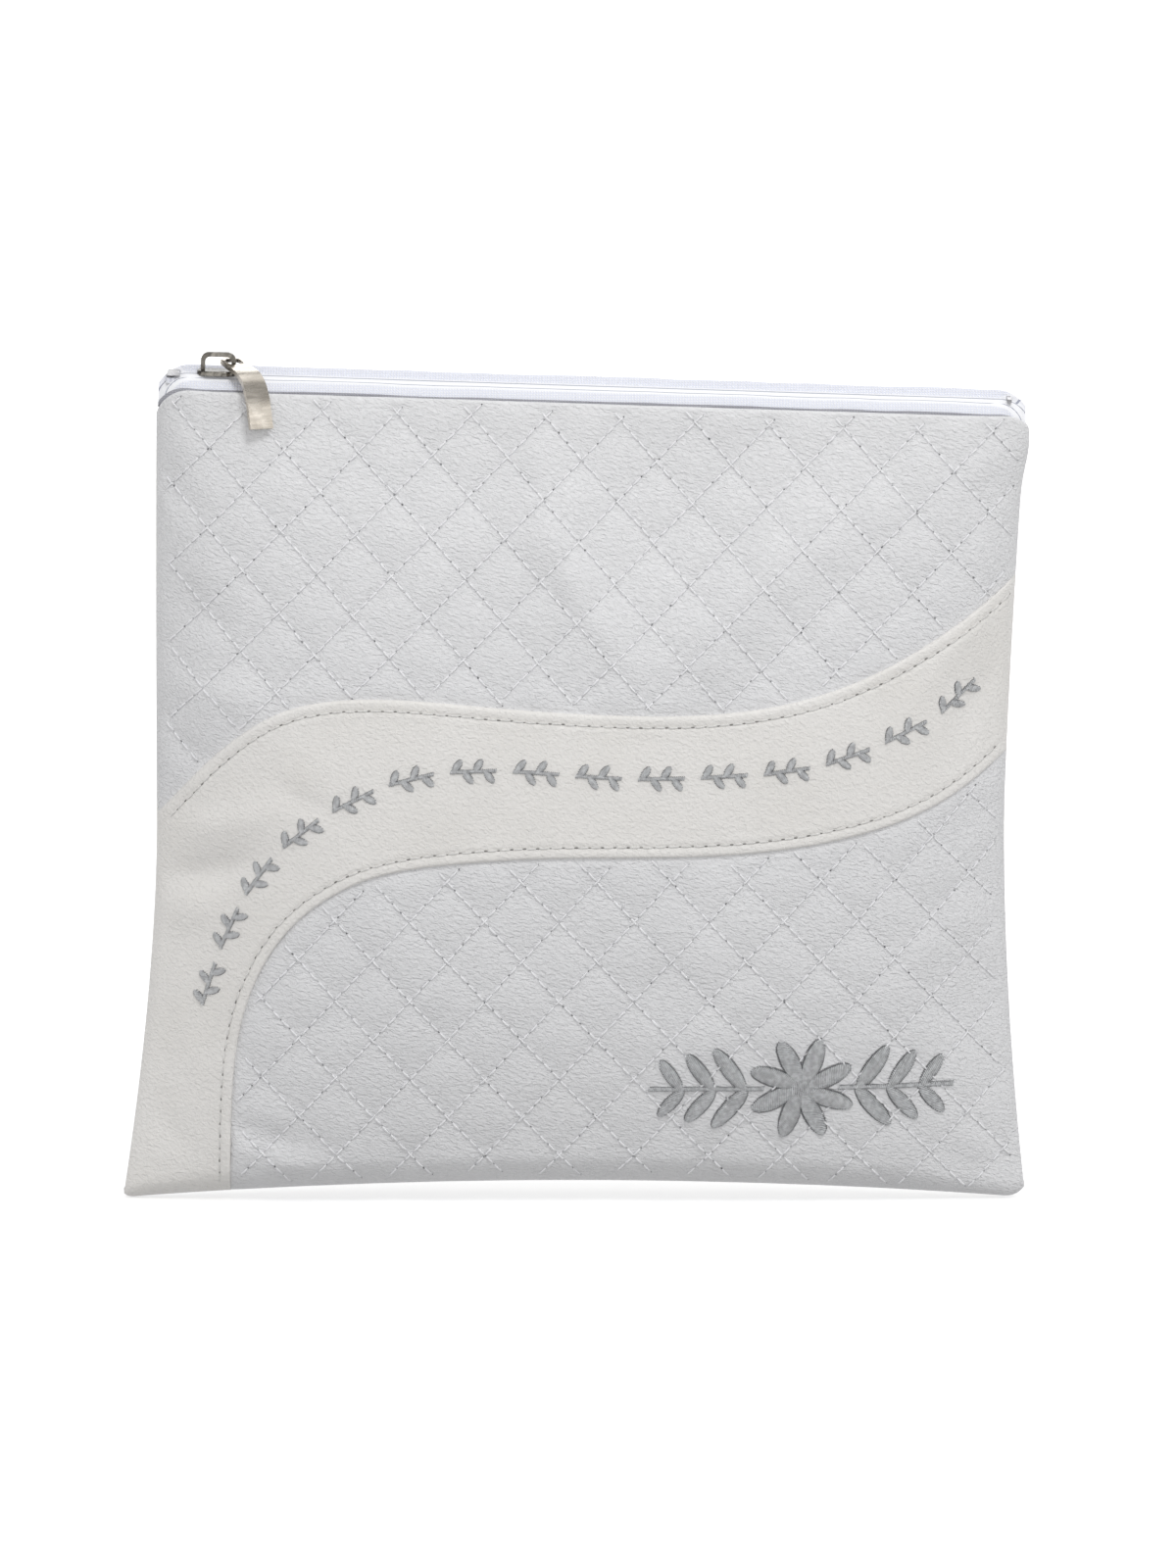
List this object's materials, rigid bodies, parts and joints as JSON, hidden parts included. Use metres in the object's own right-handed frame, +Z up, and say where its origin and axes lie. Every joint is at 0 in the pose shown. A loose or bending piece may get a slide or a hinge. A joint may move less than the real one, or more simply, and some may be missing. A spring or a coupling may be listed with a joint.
{
  "type": "zip pouch",
  "caption": "Stuffed upright zip pouch for devotional items, of quilted white leatherette with a wavy smooth band.",
  "frame": {"origin": "middle of the flat foot, on the floor, in the plane of the side seams", "axes": "+X right along the front, +Y to the back, +Z up; the embroidered front faces -Y"},
  "size_m": [0.2464, 0.0488, 0.2305],
  "materials": {
    "quilted_leather": "fine grain, satin",
    "smooth_leather": "fine grain, satin",
    "back_leather": "fine grain, satin",
    "foam": "matt",
    "lining": "matt, woven",
    "stitch_thread": "twisted thread",
    "silver_thread": "satin stitch, sheen",
    "zip_tape": "woven, matt",
    "zip_coil": "satin",
    "bright_metal": "polished",
    "slider_metal": "brushed antique plating"
  },
  "bodies": {
    "pouch": {"front_upper_panel": "quilted_leather", "front_lower_panel": "quilted_leather", "front_band": "smooth_leather", "back_panel": "back_leather", "front_foam": "foam", "back_foam": "foam", "front_lining": "lining", "back_lining": "lining", "band_stitch_upper": "stitch_thread", "band_stitch_lower": "stitch_thread", "band_embroidery": "silver_thread", "corner_embroidery": "silver_thread", "zip_tape_front": "zip_tape", "zip_tape_back": "zip_tape", "zip_coil_front": "zip_coil", "zip_coil_back": "zip_coil", "zip_top_stop": "bright_metal", "zip_bottom_stop": "bright_metal"},
    "slider": {"slider_body": "slider_metal", "slider_crown": "slider_metal"},
    "puller": {"puller_tab": "slider_metal"}
  },
  "joints": [
    {"name": "slider_travel", "type": "slide", "parent": "pouch", "child": "slider", "axis": [0.9995, 0, -0.0323], "range_m": [-0.004, 0.205]},
    {"name": "puller_swing", "type": "hinge", "parent": "slider", "child": "puller", "pos_m": [-0.09184, 0, 0.22742], "axis": [-0.8656, -0.5, 0.028], "range_deg": [0, 42]}
  ]
}
